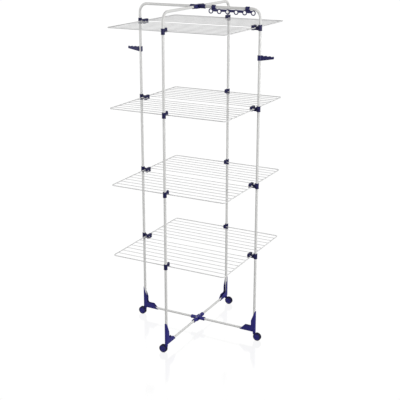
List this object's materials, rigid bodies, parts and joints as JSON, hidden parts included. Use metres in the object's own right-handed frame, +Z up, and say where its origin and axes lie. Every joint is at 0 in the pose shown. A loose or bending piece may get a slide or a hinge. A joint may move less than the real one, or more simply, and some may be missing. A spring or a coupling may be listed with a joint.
{
  "type": "tower clothes airer",
  "caption": "Tall folding clothes airer: tube frame on castors with stacked tiers of wire leaves, a hinged half frame at front and back, notched hanger arms and a bar of hanger rings.",
  "frame": {"origin": "on the floor, in the middle of the airer as it stands open", "axes": "+Z up; X runs along the main frame, from the left post to the right post; the front half frame points towards -Y"},
  "size_m": [0.866, 0.751, 1.8415],
  "materials": {
    "frame_paint": "smooth white enamel paint",
    "line_paint": "smooth white coating on wire",
    "joint_plastic": "moulded navy blue plastic, slight sheen",
    "foot_plastic": "moulded indigo plastic, slight sheen",
    "wheel_plastic": "moulded dark plastic",
    "pin_steel": "zinc plated steel"
  },
  "bodies": {
    "main_frame": {"left_post": "frame_paint", "right_post": "frame_paint", "main_base_bar": "frame_paint", "top_hub": "joint_plastic", "bottom_hub": "joint_plastic", "left_foot": "foot_plastic", "right_foot": "foot_plastic", "left_leaf_bracket_1": "joint_plastic", "left_leaf_bracket_2": "joint_plastic", "left_leaf_bracket_3": "joint_plastic", "left_leaf_bracket_4": "joint_plastic", "right_leaf_bracket_1": "joint_plastic", "right_leaf_bracket_2": "joint_plastic", "right_leaf_bracket_3": "joint_plastic", "right_leaf_bracket_4": "joint_plastic", "front_top_hinge_pin": "pin_steel", "front_bottom_hinge_pin": "pin_steel", "rear_top_hinge_pin": "pin_steel", "rear_bottom_hinge_pin": "pin_steel"},
    "front_frame": {"front_post": "frame_paint", "front_base_bar": "frame_paint", "front_foot": "foot_plastic", "front_top_knuckle": "joint_plastic", "front_bottom_knuckle": "joint_plastic", "front_leaf_clip_1": "joint_plastic", "front_leaf_clip_2": "joint_plastic", "front_leaf_clip_3": "joint_plastic", "front_leaf_clip_4": "joint_plastic"},
    "rear_frame": {"rear_post": "frame_paint", "rear_base_bar": "frame_paint", "rear_foot": "foot_plastic", "rear_top_knuckle": "joint_plastic", "rear_bottom_knuckle": "joint_plastic", "rear_leaf_clip_1": "joint_plastic", "rear_leaf_clip_2": "joint_plastic", "rear_leaf_clip_3": "joint_plastic", "rear_leaf_clip_4": "joint_plastic"},
    "front_leaf_1": {"front_leaf_1": "line_paint"},
    "front_leaf_2": {"front_leaf_2": "line_paint"},
    "front_leaf_3": {"front_leaf_3": "line_paint"},
    "front_leaf_4": {"front_leaf_4": "line_paint"},
    "rear_leaf_1": {"rear_leaf_1": "line_paint"},
    "rear_leaf_2": {"rear_leaf_2": "line_paint"},
    "rear_leaf_3": {"rear_leaf_3": "line_paint"},
    "rear_leaf_4": {"rear_leaf_4": "line_paint"},
    "left_hanger_arm": {"left_hanger_arm": "joint_plastic"},
    "right_hanger_arm": {"right_hanger_arm": "joint_plastic"},
    "ring_bar": {"ring_bar": "joint_plastic"},
    "left_castor": {"left_castor_carrier": "foot_plastic"},
    "left_wheel_1": {"left_castor_wheel_1": "wheel_plastic"},
    "left_wheel_2": {"left_castor_wheel_2": "wheel_plastic"},
    "front_castor": {"front_castor_carrier": "foot_plastic"},
    "front_wheel_1": {"front_castor_wheel_1": "wheel_plastic"},
    "front_wheel_2": {"front_castor_wheel_2": "wheel_plastic"},
    "right_castor": {"right_castor_carrier": "foot_plastic"},
    "right_wheel_1": {"right_castor_wheel_1": "wheel_plastic"},
    "right_wheel_2": {"right_castor_wheel_2": "wheel_plastic"},
    "rear_castor": {"rear_castor_carrier": "foot_plastic"},
    "rear_wheel_1": {"rear_castor_wheel_1": "wheel_plastic"},
    "rear_wheel_2": {"rear_castor_wheel_2": "wheel_plastic"}
  },
  "joints": [
    {"name": "front_fold", "type": "hinge", "parent": "main_frame", "child": "front_frame", "pos_m": [0, -0.02, 0], "axis": [0, 0, 1], "range_deg": [0, 78]},
    {"name": "rear_fold", "type": "hinge", "parent": "main_frame", "child": "rear_frame", "pos_m": [0, 0.02, 0], "axis": [0, 0, 1], "range_deg": [0, 78]},
    {"name": "front_leaf_1_drop", "type": "hinge", "parent": "main_frame", "child": "front_leaf_1", "pos_m": [0, -0.013, 0.50297], "axis": [1, 0, 0], "range_deg": [0, 90]},
    {"name": "front_leaf_2_drop", "type": "hinge", "parent": "main_frame", "child": "front_leaf_2", "pos_m": [0, -0.013, 0.90298], "axis": [1, 0, 0], "range_deg": [0, 90]},
    {"name": "front_leaf_3_drop", "type": "hinge", "parent": "main_frame", "child": "front_leaf_3", "pos_m": [0, -0.013, 1.31999], "axis": [1, 0, 0], "range_deg": [0, 90]},
    {"name": "front_leaf_4_drop", "type": "hinge", "parent": "main_frame", "child": "front_leaf_4", "pos_m": [0, -0.013, 1.737], "axis": [1, 0, 0], "range_deg": [0, 90]},
    {"name": "rear_leaf_1_drop", "type": "hinge", "parent": "main_frame", "child": "rear_leaf_1", "pos_m": [0, 0.013, 0.50297], "axis": [1, 0, 0], "range_deg": [-90, 0]},
    {"name": "rear_leaf_2_drop", "type": "hinge", "parent": "main_frame", "child": "rear_leaf_2", "pos_m": [0, 0.013, 0.90298], "axis": [1, 0, 0], "range_deg": [-90, 0]},
    {"name": "rear_leaf_3_drop", "type": "hinge", "parent": "main_frame", "child": "rear_leaf_3", "pos_m": [0, 0.013, 1.31999], "axis": [1, 0, 0], "range_deg": [-90, 0]},
    {"name": "rear_leaf_4_drop", "type": "hinge", "parent": "main_frame", "child": "rear_leaf_4", "pos_m": [0, 0.013, 1.737], "axis": [1, 0, 0], "range_deg": [-90, 0]},
    {"name": "left_castor_swivel", "type": "hinge", "parent": "main_frame", "child": "left_castor", "pos_m": [-0.355, 0, 0], "axis": [0, 0, 1], "continuous": true},
    {"name": "left_wheel_1_spin", "type": "hinge", "parent": "left_castor", "child": "left_wheel_1", "pos_m": [-0.375, -0.003, 0.0225], "axis": [0, 1, 0], "continuous": true},
    {"name": "left_wheel_2_spin", "type": "hinge", "parent": "left_castor", "child": "left_wheel_2", "pos_m": [-0.375, 0.003, 0.0225], "axis": [0, 1, 0], "continuous": true},
    {"name": "front_castor_swivel", "type": "hinge", "parent": "front_frame", "child": "front_castor", "pos_m": [0, -0.365, 0], "axis": [0, 0, 1], "continuous": true},
    {"name": "front_wheel_1_spin", "type": "hinge", "parent": "front_castor", "child": "front_wheel_1", "pos_m": [-0.02, -0.368, 0.0225], "axis": [0, 1, 0], "continuous": true},
    {"name": "front_wheel_2_spin", "type": "hinge", "parent": "front_castor", "child": "front_wheel_2", "pos_m": [-0.02, -0.362, 0.0225], "axis": [0, 1, 0], "continuous": true},
    {"name": "right_castor_swivel", "type": "hinge", "parent": "main_frame", "child": "right_castor", "pos_m": [0.355, 0, 0], "axis": [0, 0, 1], "continuous": true},
    {"name": "right_wheel_1_spin", "type": "hinge", "parent": "right_castor", "child": "right_wheel_1", "pos_m": [0.375, -0.003, 0.0225], "axis": [0, 1, 0], "continuous": true},
    {"name": "right_wheel_2_spin", "type": "hinge", "parent": "right_castor", "child": "right_wheel_2", "pos_m": [0.375, 0.003, 0.0225], "axis": [0, 1, 0], "continuous": true},
    {"name": "rear_castor_swivel", "type": "hinge", "parent": "rear_frame", "child": "rear_castor", "pos_m": [0, 0.365, 0], "axis": [0, 0, 1], "continuous": true},
    {"name": "rear_wheel_1_spin", "type": "hinge", "parent": "rear_castor", "child": "rear_wheel_1", "pos_m": [0.02, 0.362, 0.0225], "axis": [0, 1, 0], "continuous": true},
    {"name": "rear_wheel_2_spin", "type": "hinge", "parent": "rear_castor", "child": "rear_wheel_2", "pos_m": [0.02, 0.368, 0.0225], "axis": [0, 1, 0], "continuous": true},
    {"name": "left_hanger_arm_swing", "type": "hinge", "parent": "main_frame", "child": "left_hanger_arm", "pos_m": [-0.355, 0, 1.58501], "axis": [0, 0, 1], "range_deg": [-80, 80]},
    {"name": "right_hanger_arm_swing", "type": "hinge", "parent": "main_frame", "child": "right_hanger_arm", "pos_m": [0.355, 0, 1.58501], "axis": [0, 0, 1], "range_deg": [-80, 80]},
    {"name": "ring_bar_swing", "type": "hinge", "parent": "main_frame", "child": "ring_bar", "pos_m": [0.195, 0, 1.829], "axis": [1, 0, 0], "range_deg": [-45, 45]}
  ],
  "couplings": [
    {"joint": "front_leaf_1_drop", "follows": "front_fold", "ratio": 1.153},
    {"joint": "front_leaf_2_drop", "follows": "front_fold", "ratio": 1.153},
    {"joint": "front_leaf_3_drop", "follows": "front_fold", "ratio": 1.153},
    {"joint": "front_leaf_4_drop", "follows": "front_fold", "ratio": 1.153},
    {"joint": "rear_leaf_1_drop", "follows": "rear_fold", "ratio": -1.153},
    {"joint": "rear_leaf_2_drop", "follows": "rear_fold", "ratio": -1.153},
    {"joint": "rear_leaf_3_drop", "follows": "rear_fold", "ratio": -1.153},
    {"joint": "rear_leaf_4_drop", "follows": "rear_fold", "ratio": -1.153}
  ]
}
